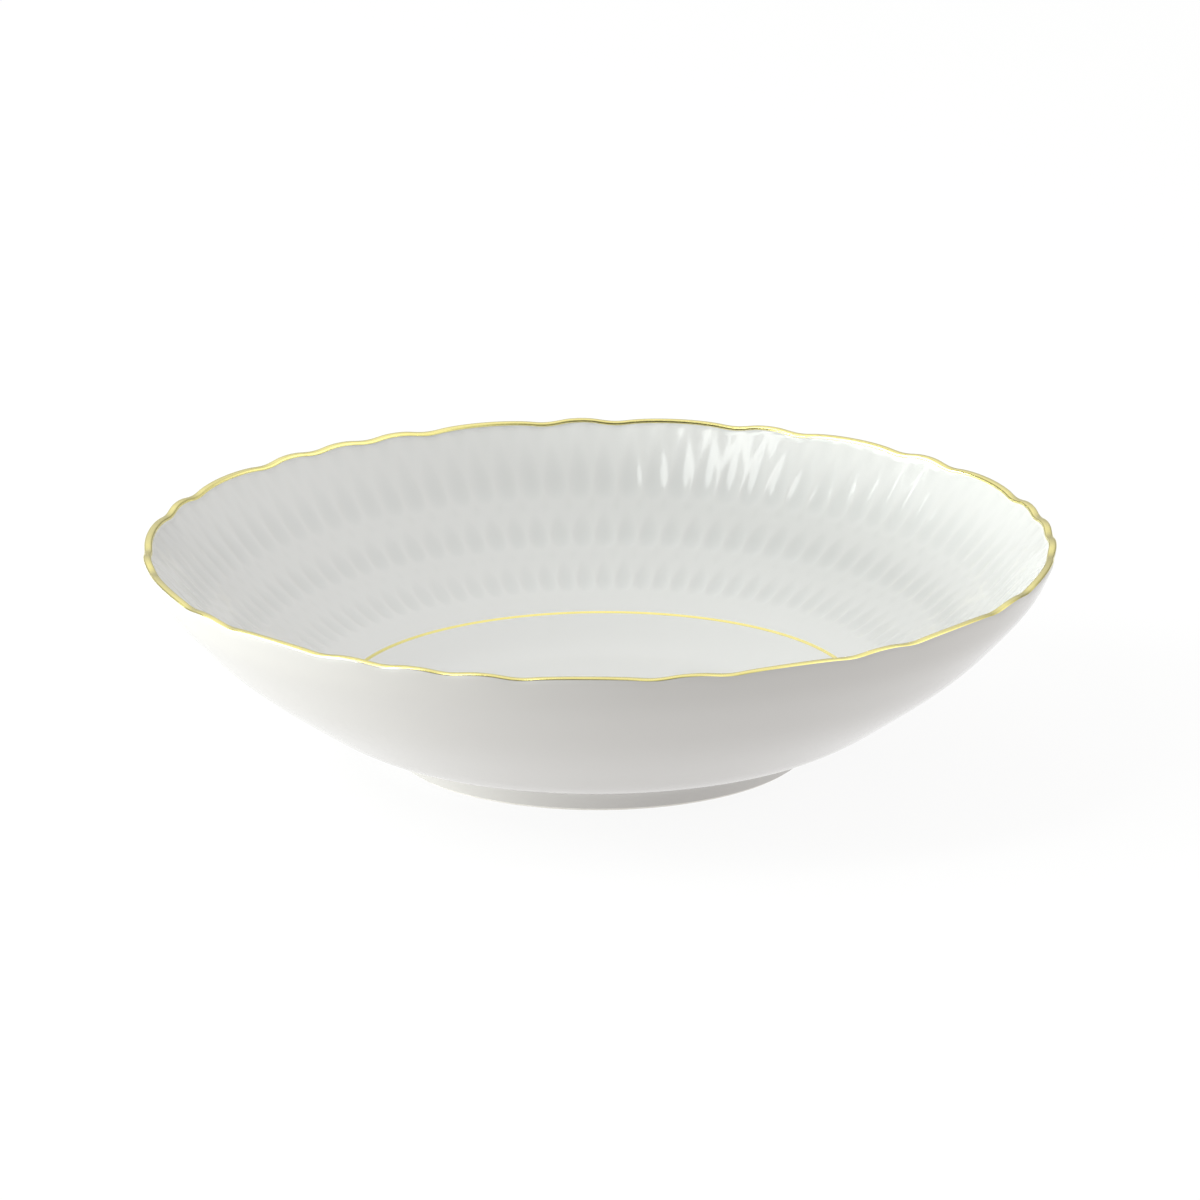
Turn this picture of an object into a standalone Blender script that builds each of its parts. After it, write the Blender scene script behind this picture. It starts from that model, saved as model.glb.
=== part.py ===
"""Porcelain serving bowl with a scalloped gilt lip, a gilt line round its well, and a ring foot.

The bowl is turned about +Z. Its origin is on the table, under the middle of the foot.
It is built up as the real one is made: the fired body and its foot, the glaze, and the gold on top.
Profiles are lists of (radius, height) in millimetres. Each runs so that the porcelain is on its
right: outwards along the inside of the bowl, over the lip, down the outside, and in under the foot.
"""

import math

import bmesh
import bpy

MM = 0.001

# The lip, whose edge rises and swells between cusps.
LIP_RADIUS = 129.3
LIP_ROUND = 1.15  # half the lip's thickness
LIP_CENTRE_HEIGHT = 60.15
LIP_SQUARENESS = 0.6  # 1 would round the lip evenly, and less makes its top flatter
LOBE_WIDTHS = [2, 1, 2, 1, 2, 1, 2, 1, 1, 1] * 3  # in units of one short lobe, once round
LOBE_RISE = 1.8
LOBE_SWELL = 0.9
MEAN_LOBE = 0.785  # a lobe's mean height, as a share of its rise
FIRST_CUSP = math.radians(114)  # from +X
CUSP_SOFTNESS = math.radians(2.2)  # how far to each side of a cusp its softening reaches
SCALLOP_DEPTH = 14.0  # how far down the wall the scallops fade out

# The finished surfaces, glaze included.
INSIDE = [
    (0, 9.0),
    (44, 9.1),
    (52, 9.9),
    (60, 11.6),
    (67, 14.3),
    (73.6, 17.4),
    (81, 20.7),
    (87.9, 24.0),
    (94, 27.7),
    (99.2, 31.4),
    (104, 35.1),
    (108.8, 39.1),
    (116.6, 47.0),
    (123.3, 54.2),
    (127.9, 59.6),
]
OUTSIDE_WALL = [
    (130.35, 59.6),
    (127.1, 52.6),
    (120.5, 44.2),
    (112.4, 35.7),
    (102.3, 27.3),
    (90.5, 18.9),
    (76.15, 10.44),
    (66.0, 7.6),
]
FOOT_OUTSIDE = [(62.4, 6.4), (61.2, 5.0), (60.6, 1.0)]
RECESS = [(55.5, 1.0), (54.6, 3.4), (53.0, 4.5), (0, 4.5)]

# The foot's bare edge, which stands on the table.
FOOT_BARE_HEIGHT = 0.7
FOOT_EDGE_IN, FOOT_EDGE_OUT = 56.9, 59.0
FOOT_SIDE_IN, FOOT_SIDE_OUT = 56.3, 59.7

# Thin coats, with a clearance under each where the real ones are fused on.
COAT = 0.3
CLEARANCE = 0.3
UNDER_GLAZE = COAT + CLEARANCE

WELL_LINE_RADIUS = 73.6
WELL_LINE_WIDTH = 1.2

COLUMNS = 2 * sum(LOBE_WIDTHS)
MERGE = 0.000001


def clear_scene():
    for old in list(bpy.data.objects):
        bpy.data.objects.remove(old, do_unlink=True)


def material(name, colour, roughness, metallic):
    made = bpy.data.materials.new(name)
    made.use_nodes = True
    shader = made.node_tree.nodes["Principled BSDF"]
    shader.inputs["Base Color"].default_value = (*colour, 1)
    shader.inputs["Roughness"].default_value = roughness
    shader.inputs["Metallic"].default_value = metallic
    return made


def into_porcelain(start, end):
    """The unit vector square to a stretch of a profile, pointing into the porcelain."""
    along_r, along_z = end[0] - start[0], end[1] - start[1]
    length = math.hypot(along_r, along_z)
    return along_z / length, -along_r / length


def sunk(profile, depth):
    """The profile moved into the porcelain by depth, square to each of its stretches."""
    normals = [into_porcelain(a, b) for a, b in zip(profile, profile[1:])]
    moved = []
    for (r, z), before, after in zip(profile, normals[:1] + normals, normals + normals[-1:]):
        sum_r, sum_z = before[0] + after[0], before[1] + after[1]
        share = 2 * depth / (sum_r**2 + sum_z**2)
        moved.append((r + share * sum_r if r else 0, z + share * sum_z))
    return moved


def coat(profile, top):
    """The closed profile of a coat whose outer face lies top under the finished surface."""
    return sunk(profile, top) + sunk(profile, top + COAT)[::-1]


def height_at(profile, radius):
    """The height of a profile of growing radius, at this radius."""
    for (r0, z0), (r1, z1) in zip(profile, profile[1:]):
        if r0 <= radius <= r1:
            return z0 + (z1 - z0) * (radius - r0) / (r1 - r0)
    raise ValueError(f"the profile doesn't reach radius {radius}")


def lip_arc(depth, steps):
    """The section over the lip, from its inner side to its outer side, depth under the surface."""
    points = []
    for i in range(steps + 1):
        turn = math.pi * (1 - i / steps)
        across = math.copysign(abs(math.cos(turn)) ** LIP_SQUARENESS, math.cos(turn))
        up = abs(math.sin(turn)) ** LIP_SQUARENESS
        size = LIP_ROUND - depth
        points.append((LIP_RADIUS + size * across, LIP_CENTRE_HEIGHT + size * up))
    return points


def sharp_lobe(angle):
    """0 at a cusp and 1 at the top of a lobe, at this angle from +X, before softening."""
    unit = math.tau / sum(LOBE_WIDTHS)
    turned = (FIRST_CUSP - angle) % math.tau / unit
    for width in LOBE_WIDTHS:
        if turned <= width:
            break
        turned -= width
    across = min(2 * turned / width, 2) - 1
    return math.sqrt(1 - across**2)


def lobe_height(angle):
    """The height of the lobes at this angle, softened over a short way to each side."""
    shares = [-1, -0.5, 0, 0.5, 1]
    return sum(sharp_lobe(angle + share * CUSP_SOFTNESS) for share in shares) / len(shares)


def scallop(bm):
    """Lifts and swells the top of the wall to follow the lobes, fading out down the wall."""
    for vert in bm.verts:
        below = LIP_CENTRE_HEIGHT - vert.co.z / MM
        share = min(1, 1 - below / SCALLOP_DEPTH)
        if share <= 0:
            continue
        lobe = share**2 * (lobe_height(math.atan2(vert.co.y, vert.co.x)) - MEAN_LOBE)
        outwards = vert.co.xy.normalized() * LOBE_SWELL * lobe * MM
        vert.co.x += outwards.x
        vert.co.y += outwards.y
        vert.co.z += LOBE_RISE * lobe * MM


def turned(name, profile, finish, parent):
    """An object turned about +Z from a profile that runs from axis to axis, or closes on itself."""
    bm = bmesh.new()
    across, up = math.cos(FIRST_CUSP), math.sin(FIRST_CUSP)
    verts = [bm.verts.new((r * MM * across, r * MM * up, z * MM)) for r, z in profile]
    edges = [bm.edges.new(pair) for pair in zip(verts, verts[1:])]
    if profile[0][0] > 0:
        edges.append(bm.edges.new((verts[-1], verts[0])))
    bmesh.ops.spin(
        bm, geom=verts + edges, axis=(0, 0, 1), angle=math.tau, steps=COLUMNS, use_merge=True
    )
    bmesh.ops.remove_doubles(bm, verts=bm.verts, dist=MERGE)
    scallop(bm)
    bmesh.ops.recalc_face_normals(bm, faces=bm.faces)
    mesh = bpy.data.meshes.new(name)
    bm.to_mesh(mesh)
    bm.free()
    mesh.materials.append(finish)
    mesh.shade_smooth()
    mesh.set_sharp_from_angle(angle=math.radians(35))
    made = bpy.data.objects.new(name, mesh)
    made.parent = parent
    bpy.context.scene.collection.objects.link(made)
    return made


def body_underside():
    """The body's face over the recess and the foot, from the wall in to the axis."""
    wall_foot = sunk(OUTSIDE_WALL, UNDER_GLAZE)[-1]
    ceiling = RECESS[-1][1] + UNDER_GLAZE
    return [wall_foot, (FOOT_OUTSIDE[1][0], wall_foot[1] - 1.5), (54.0, ceiling), (0, ceiling)]


def bowl_body_profile():
    inside = sunk(INSIDE, UNDER_GLAZE)
    outside = sunk(OUTSIDE_WALL, UNDER_GLAZE)
    return inside + lip_arc(UNDER_GLAZE, 2) + outside[:-1] + body_underside()


def foot_ring_profile():
    """The foot's section, from the inner end of its top round by its outer side."""
    seat = body_underside()[::-1]
    side_in = RECESS[0][0] + UNDER_GLAZE
    top_in = RECESS[1][0] + UNDER_GLAZE
    side_out = FOOT_OUTSIDE[2][0] - UNDER_GLAZE
    top_out = FOOT_OUTSIDE[1][0] - UNDER_GLAZE
    return [
        (top_in, height_at(seat, top_in) - CLEARANCE),
        (top_out, height_at(seat, top_out) - CLEARANCE),
        (side_out, FOOT_OUTSIDE[2][1]),
        (FOOT_SIDE_OUT, FOOT_BARE_HEIGHT),
        (FOOT_EDGE_OUT, 0),
        (FOOT_EDGE_IN, 0),
        (FOOT_SIDE_IN, FOOT_BARE_HEIGHT),
        (side_in, RECESS[0][1]),
    ]


def well_line_profile():
    """The gilt line's section, standing on the inside glaze."""
    half = WELL_LINE_WIDTH / 2
    ends = [WELL_LINE_RADIUS - half, WELL_LINE_RADIUS, WELL_LINE_RADIUS + half]
    glaze = [(r, height_at(INSIDE, r)) for r in ends]
    return sunk(glaze, -UNDER_GLAZE) + sunk(glaze, -CLEARANCE)[::-1]


def build():
    clear_scene()
    glazed = material("white_glaze", (0.86, 0.87, 0.86), 0.08, 0)
    bare = material("bare_porcelain", (0.80, 0.78, 0.73), 0.6, 0)
    gold = material("gold", (0.83, 0.68, 0.30), 0.22, 1)
    bowl = bpy.data.objects.new("serving_bowl", None)
    bpy.context.scene.collection.objects.link(bowl)

    turned("bowl_body", bowl_body_profile(), bare, bowl)
    turned("foot_ring", foot_ring_profile(), bare, bowl)
    turned("inside_glaze", coat(INSIDE, 0), glazed, bowl)
    turned("outside_glaze", coat(OUTSIDE_WALL + FOOT_OUTSIDE, 0), glazed, bowl)
    turned("recess_glaze", coat(RECESS, 0)[::-1], glazed, bowl)
    turned("rim_gilding", lip_arc(0, 4) + lip_arc(COAT, 4)[::-1], gold, bowl)
    turned("well_gold_line", well_line_profile(), gold, bowl)


build()
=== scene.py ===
"""Porcelain serving bowl: the glazed and gilded surfaces around the CAD frame.

The bowl is turned about +Z and stands on z = 0. Profiles are lists of (radius, height) in
millimetres, as in the CAD model, and each mesh is made in metres. Angles are in radians from +X.
"""

import math

import bmesh
import bpy
import numpy as np
from mathutils import Matrix, Vector


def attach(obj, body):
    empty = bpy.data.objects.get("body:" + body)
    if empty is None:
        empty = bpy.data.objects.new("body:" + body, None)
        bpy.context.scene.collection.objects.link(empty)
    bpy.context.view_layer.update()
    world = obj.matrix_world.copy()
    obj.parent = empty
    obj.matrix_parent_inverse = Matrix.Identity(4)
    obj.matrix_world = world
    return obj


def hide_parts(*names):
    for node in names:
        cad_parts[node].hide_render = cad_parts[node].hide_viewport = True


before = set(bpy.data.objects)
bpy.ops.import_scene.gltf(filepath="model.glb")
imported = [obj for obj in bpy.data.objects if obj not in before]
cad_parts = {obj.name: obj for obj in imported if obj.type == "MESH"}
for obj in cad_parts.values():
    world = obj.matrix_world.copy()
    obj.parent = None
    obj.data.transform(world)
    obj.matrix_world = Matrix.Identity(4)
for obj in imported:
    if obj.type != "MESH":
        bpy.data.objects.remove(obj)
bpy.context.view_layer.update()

MM = 0.001
AIM = Vector((0, 0, 0.03))  # the bowl's middle, which the lights and the camera face

# The lip, whose edge rises and swells between cusps.
LIP_RADIUS = 129.3
LIP_ROUND = 1.15  # half the lip's thickness
LIP_CENTRE_HEIGHT = 60.15
LIP_SQUARENESS = 0.6  # 1 would round the lip evenly, and less makes its top flatter
LOBE_WIDTHS = [2, 1, 2, 1, 2, 1, 2, 1, 1, 1] * 3  # in units of one short lobe, once round
LOBE_RISE = 1.8
LOBE_SWELL = 0.9
MEAN_LOBE = 0.785
FIRST_CUSP = math.radians(114)
CUSP_SOFTNESS = math.radians(2.2)  # how far to each side of a cusp its softening reaches
SCALLOP_DEPTH = 14.0

# The finished surfaces, glaze included.
INSIDE = [
    (0, 9.0),
    (22, 9.0),
    (44, 9.2),
    (60, 11.6),
    (73.6, 17.4),
    (87.9, 24.05),
    (99.2, 31.4),
    (108.8, 39.15),
    (116.6, 47.0),
    (123.2, 54.3),
    (127.9, 59.7),
]
OUTSIDE = [
    (130.4, 59.7),
    (127.1, 52.6),
    (120.5, 44.2),
    (112.4, 35.7),
    (102.3, 27.3),
    (90.5, 18.9),
    (76.15, 10.44),
    (66.0, 7.6),
]
FOOT_SIDE = [(63.4, 6.7), (61.9, 5.6), (61.2, 4.0), (60.8, 2.4), (60.5, 1.0)]
RECESS = [(55.5, 1.0), (55.2, 2.2), (54.6, 3.4), (53.0, 4.3), (50, 4.5), (25, 4.5), (0, 4.5)]
FOOT_EDGE = [
    (60.1, 2.6), (60.1, 1.2), (59.7, 0.62), (59.35, 0.16), (58.9, 0.0),
    (57.0, 0.0), (56.6, 0.16), (56.3, 0.62), (55.9, 1.2), (55.9, 2.6),
]
GLAZE_THICKNESS = 0.35
INSIDE_GLAZE_THICKNESS = 0.5  # deeper than the flutes
GOLD_PROUD = 0.03  # how far the gold stands off the glaze
GOLD_THICKNESS = 0.2
WELL_LINE_RADIUS = 73.6
WELL_LINE_WIDTH = 0.95

# How far round the lip's section the coats reach, in degrees from its outer side.
GOLD_INNER_TURN, GOLD_OUTER_TURN = 176, 26
GLAZE_INNER_TURN, GLAZE_OUTER_TURN = 135, 45  # under the gold
LIP_STEP = 7.5

# The flutes: shallow scoops in the inner wall, in rows. Distances run down the wall from the lip.
FLUTES = 96
FLUTE_START = math.radians(90 - 0.94)  # the middle of one flute
FLUTE_FADE = 0.5  # how far below the lip the flutes reach their full depth
FLUTE_SHADE_DEPTH = 0.36  # where a flute has its full painted shade

# (upper end, lower end, half a step round?, greatest half width, scoop radius, pointedness of
# the lower end, pointedness of the upper end). A small number makes an end blunt.
FLUTE_ROWS = [
    (-9.0, 11.0, True, 3.0, 28.0, 1.0, 0.6),
    (0.5, 25.2, False, 3.6, 19.0, 0.36, 1.25),
    (24.4, 29.6, True, 1.5, 12.0, 0.6, 0.8),
    (28.6, 42.8, False, 3.15, 13.0, 0.42, 0.85),
    (43.0, 47.4, True, 1.3, 11.0, 0.6, 0.8),
    (46.6, 60.4, False, 2.65, 10.5, 0.42, 0.85),
    (60.0, 65.0, True, 1.0, 20.0, 0.6, 0.8),
]

COLUMNS = 12 * FLUTES  # points in the finest rings
CURVE_STEP = 0.05  # between points of the curve that the inside's rings are set on
LIP_RINGS = 4
LIP_KNEE = 0.15  # how far down the wall the bend from the lip reaches
FIRST_ROW = 0.6  # the first ring below that bend
ROW_STEP = 1.0  # between rings of the fluted wall
WELL_STEP = 2.0  # between rings of the smooth well
BACK_RINGS = 28  # in the inside glaze's hidden underside


# ---------------------------------------------------------------- curves


def spline(points, spacing):
    """A smooth curve through points, as points about spacing apart."""
    knots = np.array(points, float)
    at = np.concatenate([[0], np.cumsum(np.hypot(*np.diff(knots, axis=0).T))])
    gaps = np.diff(at)
    n = len(knots)
    system = np.eye(n)
    target = np.zeros((n, 2))
    for i in range(1, n - 1):
        system[i, i - 1 : i + 2] = gaps[i - 1], 2 * (gaps[i - 1] + gaps[i]), gaps[i]
        rise = np.diff(knots[i - 1 : i + 2], axis=0) / gaps[i - 1 : i + 1, None]
        target[i] = 6 * (rise[1] - rise[0])
    bend = np.linalg.solve(system, target)
    wanted = np.linspace(0, at[-1], max(2, round(at[-1] / spacing) + 1))
    piece = np.clip(np.searchsorted(at, wanted, side="right") - 1, 0, n - 2)
    gap = gaps[piece][:, None]
    before = (wanted - at[piece])[:, None]
    after = gap - before
    return (
        (bend[piece] * after**3 + bend[piece + 1] * before**3) / (6 * gap)
        + (knots[piece] / gap - bend[piece] * gap / 6) * after
        + (knots[piece + 1] / gap - bend[piece + 1] * gap / 6) * before
    )


def lengths(profile):
    """How far along a profile each of its points is."""
    return np.concatenate([[0], np.cumsum(np.hypot(*np.diff(profile, axis=0).T))])


def normals(profile):
    """Unit vectors square to a profile, on its left as it runs."""
    along = np.gradient(profile, lengths(profile), axis=0)
    along /= np.hypot(*along.T)[:, None]
    return np.stack([-along[:, 1], along[:, 0]], axis=1)


def point_at(stop, at, curve):
    """The point of a curve, or the value of its normals, this far along it."""
    return [np.interp(stop, at, curve[:, k]) for k in (0, 1)]


def lip_curve(proud, start, end):
    """The section over the lip, this far off its surface, from one turn in degrees to another."""
    turns = np.radians(np.linspace(start, end, round(abs(start - end) / LIP_STEP) + 1))
    size = LIP_ROUND + proud
    across = np.sign(np.cos(turns)) * np.abs(np.cos(turns)) ** LIP_SQUARENESS
    up = np.abs(np.sin(turns)) ** LIP_SQUARENESS
    return np.stack([LIP_RADIUS + size * across, LIP_CENTRE_HEIGHT + size * up], axis=1)


# ---------------------------------------------------------------- shapes that go round


def sharp_lobes(angles):
    """0 at a cusp and 1 at the top of a lobe, before softening."""
    unit = math.tau / sum(LOBE_WIDTHS)
    turned = ((FIRST_CUSP - angles) % math.tau) / unit
    ends = np.cumsum(LOBE_WIDTHS)
    lobe = np.clip(np.searchsorted(ends, turned), 0, len(ends) - 1)
    width = np.array(LOBE_WIDTHS)[lobe]
    across = np.clip(2 * (turned - ends[lobe] + width) / width - 1, -1, 1)
    return np.sqrt(1 - across**2)


def lobe_height(angles):
    """The height of the lobes, softened over a short way to each side."""
    shares = np.linspace(-1, 1, 15)
    weights = 1 - 0.8 * shares**2
    near = [w * sharp_lobes(angles + share * CUSP_SOFTNESS) for share, w in zip(shares, weights)]
    return sum(near) / sum(weights)


ANGLES = np.arange(COLUMNS) * math.tau / COLUMNS
LOBES = lobe_height(ANGLES)


def scalloped(radius, height, lobes):
    """Points of a ring with the lobes' rise and swell, which fade out down the wall."""
    below = LIP_CENTRE_HEIGHT - height
    share = np.clip(1 - below / SCALLOP_DEPTH, 0, 1) ** 2
    lift = share * (lobes - MEAN_LOBE)
    return radius + LOBE_SWELL * lift, height + LOBE_RISE * lift


def ring(radius, height, columns):
    """One ring of points in metres. radius and height are numbers, or have one value a column."""
    step = COLUMNS // columns
    angles = ANGLES[::step]
    r, z = scalloped(radius, height, LOBES[::step])
    return np.stack([r * np.cos(angles), r * np.sin(angles), z], axis=1) * MM


def middle(height):
    """The ring of one point in the middle of a disc."""
    return np.array([[0, 0, height * MM]])


def join(first, second, n, m):
    """Faces between two rings of n and m points. One may have twice as many as the other."""
    faces = []
    if n == m:
        for i in range(n):
            j = (i + 1) % n
            faces.append((first + i, first + j, second + j, second + i))
    elif m == 1:
        for i in range(n):
            faces.append((first + i, first + (i + 1) % n, second))
    elif n == 2 * m:
        for i in range(m):
            a, b, c = 2 * i, 2 * i + 1, (2 * i + 2) % n
            d, e = i, (i + 1) % m
            faces.append((first + a, first + b, second + d))
            faces.append((first + b, second + e, second + d))
            faces.append((first + b, first + c, second + e))
    else:
        faces = [face[::-1] for face in join(second, first, m, n)]
    return faces


def turned(name, rings, closed, finish, slot, stands_for):
    """A piece from rings of points. If it is closed, the last ring joins the first."""
    starts = np.cumsum([0] + [len(r) for r in rings])
    pairs = list(zip(range(len(rings) - 1), range(1, len(rings))))
    if closed:
        pairs.append((len(rings) - 1, 0))
    faces = []
    for i, j in pairs:
        faces += join(int(starts[i]), int(starts[j]), len(rings[i]), len(rings[j]))
    mesh = bpy.data.meshes.new(name)
    mesh.from_pydata(np.concatenate(rings).tolist(), [], faces)
    bm = bmesh.new()
    bm.from_mesh(mesh)
    bmesh.ops.recalc_face_normals(bm, faces=bm.faces)
    bm.to_mesh(mesh)
    bm.free()
    mesh.shade_smooth()
    mesh.set_sharp_from_angle(angle=math.radians(50))
    mesh.materials.append(finish)
    piece = bpy.data.objects.new(name, mesh)
    bpy.context.scene.collection.objects.link(piece)
    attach(piece, "root")
    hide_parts(*stands_for)
    return piece


def outline(share, low_point, high_point):
    """A flute's half width from its lower end (0) to its upper end (1), with 1 the greatest."""
    widest = low_point / (low_point + high_point)
    greatest = widest**low_point * (1 - widest) ** high_point
    inside = np.clip(share, 0, 1)
    return inside**low_point * (1 - inside) ** high_point / greatest


def flute_depth(angles, radius, down):
    """How deep the flutes are on a ring of this radius, this far down the wall from the lip."""
    step = math.tau / FLUTES
    depth = np.zeros_like(angles)
    for upper, lower, offset, half_width, scoop, low_point, high_point in FLUTE_ROWS:
        width = half_width * outline((lower - down) / (lower - upper), low_point, high_point)
        start = FLUTE_START + (step / 2 if offset else 0)
        across = ((angles - start + step / 2) % step - step / 2) * radius
        depth = np.maximum(depth, (width**2 - across**2) / (2 * scoop))
    return depth * np.clip(down / FLUTE_FADE, 0, 1)


# ---------------------------------------------------------------- materials


def new_material(name):
    made = bpy.data.materials.new(name)
    made.use_nodes = True
    tree = made.node_tree
    return made, tree, tree.nodes["Principled BSDF"]


def add(tree, kind, **inputs):
    """A node with these inputs set, each named with _ for a space."""
    node = tree.nodes.new(kind)
    for key, value in inputs.items():
        node.inputs[key.replace("_", " ")].default_value = value
    return node


def noise(tree, scale, detail):
    coordinates = tree.nodes.new("ShaderNodeTexCoord")
    made = add(tree, "ShaderNodeTexNoise", Scale=scale, Detail=detail)
    tree.links.new(coordinates.outputs["Object"], made.inputs["Vector"])
    return made.outputs["Fac"]


def spread(tree, source, low, high):
    """A value from 0 to 1 mapped to the range from low to high."""
    made = add(tree, "ShaderNodeMapRange", To_Min=low, To_Max=high)
    tree.links.new(source, made.inputs["Value"])
    return made.outputs["Result"]


def blend_colours(tree, share, first, second):
    """A mix of two colours, each a triple of numbers or another node's output."""
    made = tree.nodes.new("ShaderNodeMix")
    made.data_type = "RGBA"
    tree.links.new(share, made.inputs[0])
    for colour, socket in zip((first, second), made.inputs[6:8]):
        if isinstance(colour, tuple):
            socket.default_value = (*colour, 1)
        else:
            tree.links.new(colour, socket)
    return made.outputs[2]


def bump(tree, shader, height, distance):
    made = add(tree, "ShaderNodeBump", Strength=1.0, Distance=distance)
    tree.links.new(height, made.inputs["Height"])
    tree.links.new(made.outputs["Normal"], shader.inputs["Normal"])


def inside_white():
    """A clear glaze on white porcelain, with painted shade in the flutes: a little darker the
    deeper a flute is.
    """
    made, tree, shader = new_material("white_glaze_inside_painted_flute_shade")
    painted_flute_shade = tree.nodes.new("ShaderNodeAttribute")
    painted_flute_shade.attribute_name = "painted_flute_shade"
    cloud = noise(tree, 22, 2)
    clear = blend_colours(tree, cloud, (0.725, 0.722, 0.715), (0.745, 0.742, 0.737))
    # Painted shade: the colour darkens where the flutes are deep, standing in for shade in their
    # hollows.
    colour = blend_colours(tree, painted_flute_shade.outputs["Fac"], clear, (0.686, 0.688, 0.683))
    tree.links.new(colour, shader.inputs["Base Color"])
    glassy(tree, shader)
    return made


def shaded_outside_glaze():
    """The glaze over the smooth outside, set darker than inside and a touch warmer: painted shade
    and painted warm bounce light on the outer wall and under the foot.
    """
    made, tree, shader = new_material("white_glaze_outside_painted_shade")
    # Painted shade: the same glaze as inside, made darker and warmer to stand in for the shade
    # and warm bounce light on the outside.
    cloud = blend_colours(tree, noise(tree, 16, 3), (0.525, 0.509, 0.491), (0.545, 0.529, 0.51))
    tree.links.new(cloud, shader.inputs["Base Color"])
    glassy(tree, shader)
    return made


def glassy(tree, shader):
    """Gives a glaze its gloss, which ripples very slightly as fired glaze does."""
    shader.inputs["IOR"].default_value = 1.5
    tree.links.new(spread(tree, noise(tree, 60, 3), 0.07, 0.12), shader.inputs["Roughness"])
    bump(tree, shader, noise(tree, 260, 1), 0.00002)


def bare_porcelain():
    """Fired porcelain with no glaze: matt, finely grained, with a little table grime."""
    made, tree, shader = new_material("bare_porcelain")
    grime = blend_colours(tree, noise(tree, 300, 4), (0.62, 0.59, 0.53), (0.8, 0.785, 0.75))
    tree.links.new(grime, shader.inputs["Base Color"])
    tree.links.new(spread(tree, noise(tree, 900, 2), 0.5, 0.75), shader.inputs["Roughness"])
    bump(tree, shader, noise(tree, 2500, 2), 0.00004)
    return made


def gold():
    """Bright fired gold, laid on with a brush."""
    made, tree, shader = new_material("gold")
    streaks = blend_colours(tree, noise(tree, 180, 3), (0.9, 0.8, 0.3), (1.0, 0.91, 0.4))
    tree.links.new(streaks, shader.inputs["Base Color"])
    tree.links.new(spread(tree, noise(tree, 400, 3), 0.16, 0.3), shader.inputs["Roughness"])
    shader.inputs["Metallic"].default_value = 1.0
    bump(tree, shader, noise(tree, 900, 2), 0.00002)
    return made


# ---------------------------------------------------------------- the pieces


def inside_glaze(finish):
    """The fluted inner surface, from under the gold to the middle of the well."""
    lip = lip_curve(0, GLAZE_INNER_TURN, 180)
    line = np.concatenate([lip, spline(INSIDE, CURVE_STEP)[::-1]])
    at = lengths(line)
    left = normals(line)
    start = lengths(lip)[-1]
    fluted = start + FLUTE_ROWS[-1][1]

    stops = [start * i / LIP_RINGS for i in range(LIP_RINGS)] + [start, start + LIP_KNEE]
    stops += list(np.arange(start + FIRST_ROW, fluted, ROW_STEP))
    columns = [COLUMNS] * len(stops)
    for stop in np.arange(fluted, at[-1] - 1.0, WELL_STEP):
        radius, _ = point_at(stop, at, line)
        stops.append(stop)
        columns.append(COLUMNS // (2 if radius > 60 else 4 if radius > 30 else 8))

    rings, painted_flute_shade = [], []
    for stop, n in zip(stops, columns):
        r, z = point_at(stop, at, line)
        out_r, out_z = point_at(stop, at, left)
        depth = np.zeros(n)
        if stop < fluted:
            depth = flute_depth(ANGLES, r, stop - start)
        rings.append(ring(r + out_r * depth, z + out_z * depth, n))
        # The painted shade in the flutes, strongest where a flute is deepest.
        painted_flute_shade.append(np.clip(depth / FLUTE_SHADE_DEPTH, 0, 1))
    rings.append(middle(line[-1, 1]))
    painted_flute_shade.append(np.zeros(1))

    # The coat's hidden underside, which needs few points.
    under = line + left * INSIDE_GLAZE_THICKNESS
    backs = [point_at(stop, at, under) for stop in np.linspace(0, at[-1] - 6, BACK_RINGS)]
    low = [COLUMNS, COLUMNS // 2, COLUMNS // 4] + [COLUMNS // 8] * (BACK_RINGS - 3)
    hidden = [ring(r, z, n) for (r, z), n in zip(backs, low)] + [middle(under[-1, 1])]
    hidden.reverse()
    painted_flute_shade = [np.zeros(len(r)) for r in hidden] + painted_flute_shade

    finished = [finish, "white_glaze", ["inside_glaze"]]
    piece = turned("inside_glaze_fluted", hidden + rings, False, *finished)
    held = piece.data.attributes.new("painted_flute_shade", "FLOAT", "POINT")
    held.data.foreach_set("value", np.concatenate(painted_flute_shade).astype(np.float32))


def outside_glaze(finish):
    """The smooth outer surface, from under the gold to the foot's bare edge."""
    side = np.concatenate([lip_curve(0, GLAZE_OUTER_TURN, 0), spline(OUTSIDE + FOOT_SIDE, 1.6)])
    under = side - normals(side) * GLAZE_THICKNESS
    thin = under[::-1][::3]
    ends = [COLUMNS, COLUMNS // 2]
    columns = ends + [COLUMNS // 4] * (len(thin) - 4) + ends[::-1]
    rings = [ring(r, z, COLUMNS) for r, z in side]
    rings += [ring(r, z, n) for (r, z), n in zip(thin, columns)]
    turned("outside_glaze_smooth", rings, True, finish, "white_glaze", ["outside_glaze"])


def recess_glaze(finish):
    """The glaze under the floor, inside the foot."""
    low = spline(RECESS, 2.0)
    up = low - normals(low) * GLAZE_THICKNESS
    n = COLUMNS // 4
    rings = [middle(up[-1, 1])] + [ring(r, z, n) for r, z in up[-2::-1]]
    rings += [ring(r, z, n) for r, z in low[:-1]] + [middle(low[-1, 1])]
    turned("recess_glaze_smooth", rings, False, finish, "white_glaze", ["recess_glaze"])


def foot_edge(finish):
    """The foot's bare edge, which stands on the table."""
    rings = [ring(r, z, COLUMNS // 4) for r, z in FOOT_EDGE]
    turned("foot_bare_edge", rings, True, finish, "bare_porcelain", ["foot_ring"])


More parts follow.
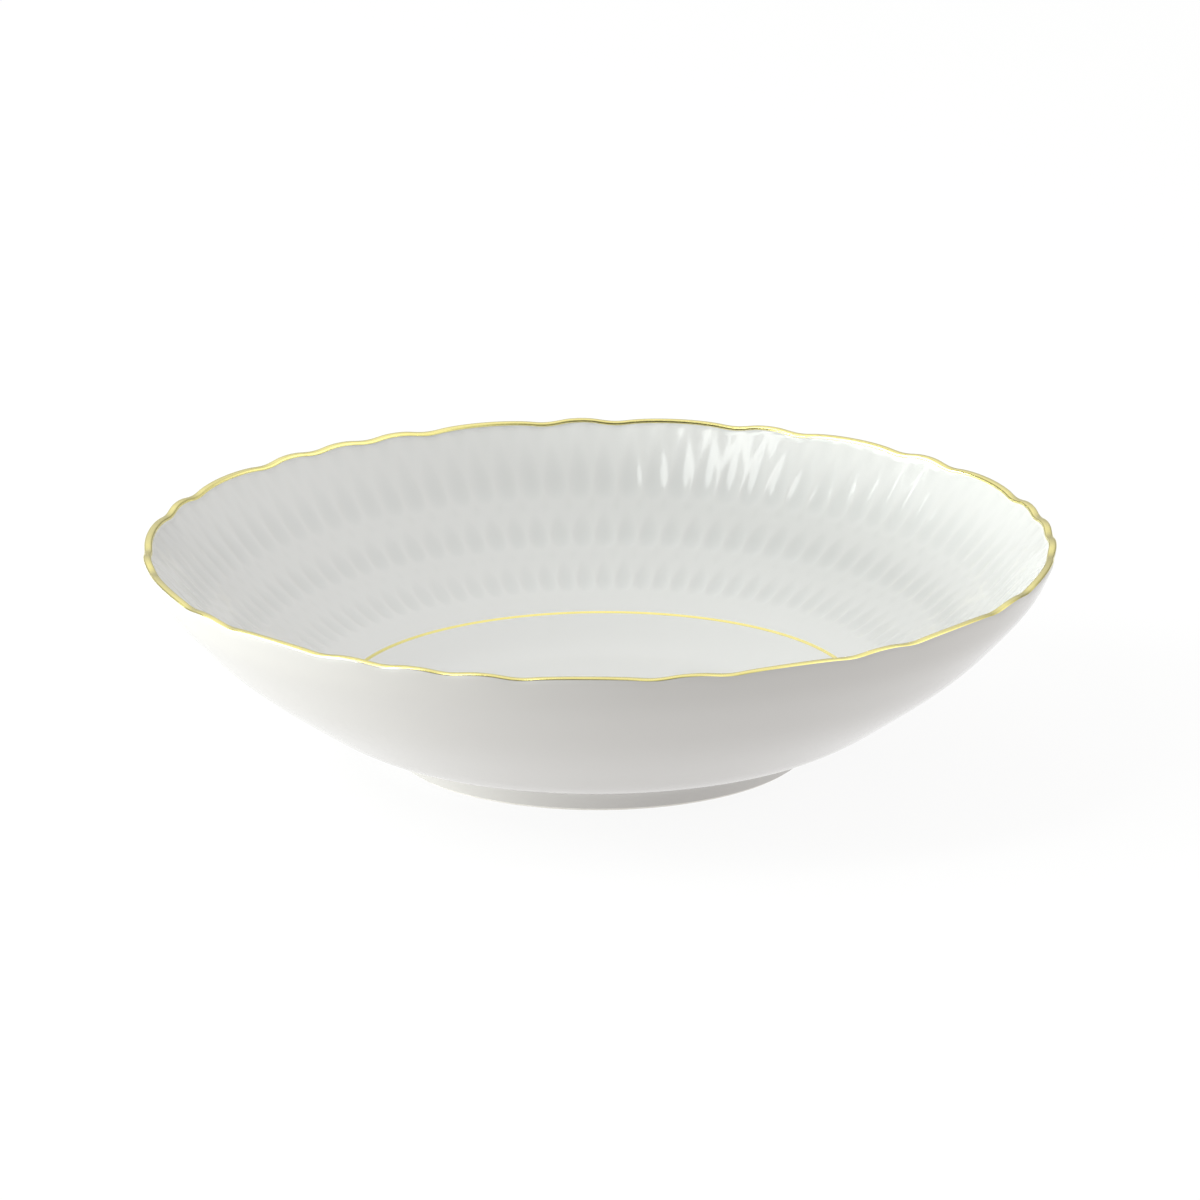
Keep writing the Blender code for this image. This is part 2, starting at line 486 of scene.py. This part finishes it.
def rim_gold(finish):
    """The gold over the lip."""
    top = lip_curve(GOLD_PROUD, GOLD_INNER_TURN, GOLD_OUTER_TURN)
    low = lip_curve(-GOLD_THICKNESS, GOLD_INNER_TURN, GOLD_OUTER_TURN)
    rings = [ring(r, z, COLUMNS) for r, z in top]
    rings += [ring(r, z, COLUMNS) for r, z in low[::-1][::4]]
    turned("rim_gold_band", rings, True, finish, "gold", ["rim_gilding"])


def well_gold(finish):
    """The gold line round the well, with its edges let down to the glaze."""
    wall = spline(INSIDE, CURVE_STEP)
    half = WELL_LINE_WIDTH / 2
    stops = np.linspace(WELL_LINE_RADIUS - half, WELL_LINE_RADIUS + half, 5)
    base = np.stack([stops, np.interp(stops, wall[:, 0], wall[:, 1])], axis=1)
    out = normals(base)
    proud = base + out * GOLD_PROUD * np.array([0, 1, 1, 1, 0])[:, None]
    sunk = base - out * GOLD_THICKNESS
    n = COLUMNS // 2
    rings = [ring(r, z, n) for r, z in proud] + [ring(r, z, n) for r, z in sunk[::-2]]
    turned("well_gold_band", rings, True, finish, "gold", ["well_gold_line"])


def build():
    glaze, bare, gilt = shaded_outside_glaze(), bare_porcelain(), gold()
    inside_glaze(inside_white())
    outside_glaze(glaze)
    recess_glaze(glaze)
    foot_edge(bare)
    rim_gold(gilt)
    well_gold(gilt)

    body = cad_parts["bowl_body"]
    body.data.materials.clear()
    body.data.materials.append(bare)


# ---------------------------------------------------------------- the stage


def stage_floor():
    bm = bmesh.new()
    bmesh.ops.create_circle(bm, cap_ends=True, radius=12, segments=96)
    mesh = bpy.data.meshes.new("floor")
    bm.to_mesh(mesh)
    bm.free()
    made, tree, shader = new_material("floor_white")
    shader.inputs["Base Color"].default_value = (0.14, 0.14, 0.14, 1)
    shader.inputs["Roughness"].default_value = 1.0
    shader.inputs["Specular IOR Level"].default_value = 0
    shader.inputs["Emission Color"].default_value = (1, 1, 1, 1)
    shader.inputs["Emission Strength"].default_value = 0.87
    mesh.materials.append(made)
    floor = bpy.data.objects.new("floor", mesh)
    bpy.context.scene.collection.objects.link(floor)


def softbox(name, at, width, height, strength, colour):
    """A rectangular light aimed at the bowl. Its strength is how bright its face is."""
    light = bpy.data.lights.new(name, "AREA")
    light.shape = "RECTANGLE"
    light.size, light.size_y = width, height
    light.energy = strength * width * height * math.pi
    light.color = colour
    lamp = bpy.data.objects.new(name, light)
    lamp.location = at
    lamp.rotation_euler = (AIM - Vector(at)).to_track_quat("-Z", "Y").to_euler()
    lamp.visible_camera = False
    bpy.context.scene.collection.objects.link(lamp)


def dome(glows):
    """Soft light from the whole sky. Each glow is (direction, strength, tightness)."""
    world = bpy.data.worlds.new("studio")
    world.use_nodes = True
    tree = world.node_tree
    sky = tree.nodes.new("ShaderNodeTexCoord").outputs["Generated"]
    total = None
    for direction, strength, tightness in glows:
        towards = tree.nodes.new("ShaderNodeVectorMath")
        towards.operation = "DOT_PRODUCT"
        towards.inputs[1].default_value = Vector(direction).normalized()
        tree.links.new(sky, towards.inputs[0])
        facing = calculate(tree, "MAXIMUM", towards.outputs["Value"], 0.0)
        shape = calculate(tree, "POWER", facing, tightness)
        glow = calculate(tree, "MULTIPLY", shape, strength)
        total = calculate(tree, "ADD", total, glow) if total else glow
    # The backdrop itself is seen as plain white.
    path = tree.nodes.new("ShaderNodeLightPath")
    seen = add(tree, "ShaderNodeMix", B=1.0)
    background = tree.nodes["Background"]
    tree.links.new(path.outputs["Is Camera Ray"], seen.inputs["Factor"])
    tree.links.new(total, seen.inputs["A"])
    tree.links.new(seen.outputs["Result"], background.inputs["Strength"])
    background.inputs["Color"].default_value = (1, 1, 0.985, 1)
    bpy.context.scene.world = world


def calculate(tree, operation, first, second):
    node = tree.nodes.new("ShaderNodeMath")
    node.operation = operation
    for value, socket in zip((first, second), node.inputs):
        if isinstance(value, float):
            socket.default_value = value
        else:
            tree.links.new(value, socket)
    return node.outputs[0]


def studio():
    dome([((0, 0, 1), 0.75, 3.0), ((-0.2, 1, 0.7), 0.85, 4.0), ((1, -0.2, 0.3), 1.6, 3.0)])
    softbox("key_left", (-1.35, -0.05, 0.8), 1.2, 0.8, 4.0, (0.95, 1, 0.95))
    softbox("low_left", (-1.47, -0.2, 0.12), 1.6, 0.24, 21.0, (0.96, 1, 0.96))
    softbox("window", (-1.06, -0.65, 1.5), 0.44, 1.15, 4.3, (0.96, 1, 0.97))


def camera():
    """A long lens that looks down on the bowl at a low angle, with a slight tilt and roll."""
    elevation = math.radians(17.39)
    distance = 2.1484
    tilt = math.radians(0.350)
    roll = math.radians(-0.325)
    place = AIM + distance * Vector((0, -math.cos(elevation), math.sin(elevation)))
    forward = Vector((0, math.cos(elevation), -math.sin(elevation)))
    right = Vector((1, 0, 0))
    up = right.cross(forward)
    forward, up = (
        math.cos(tilt) * forward + math.sin(tilt) * up,
        math.cos(tilt) * up - math.sin(tilt) * forward,
    )
    right, up = (
        math.cos(roll) * right + math.sin(roll) * up,
        math.cos(roll) * up - math.sin(roll) * right,
    )
    data = bpy.data.cameras.new("camera")
    data.lens = 224.27
    data.sensor_width = 36
    data.clip_start, data.clip_end = 0.05, 50
    eye = bpy.data.objects.new("camera", data)
    turn = Matrix((right, up, -forward)).transposed()
    eye.matrix_world = Matrix.Translation(place) @ turn.to_4x4()
    bpy.context.scene.collection.objects.link(eye)
    bpy.context.scene.camera = eye


build()
stage_floor()
studio()
camera()
bpy.context.scene.view_settings.view_transform = "Standard"
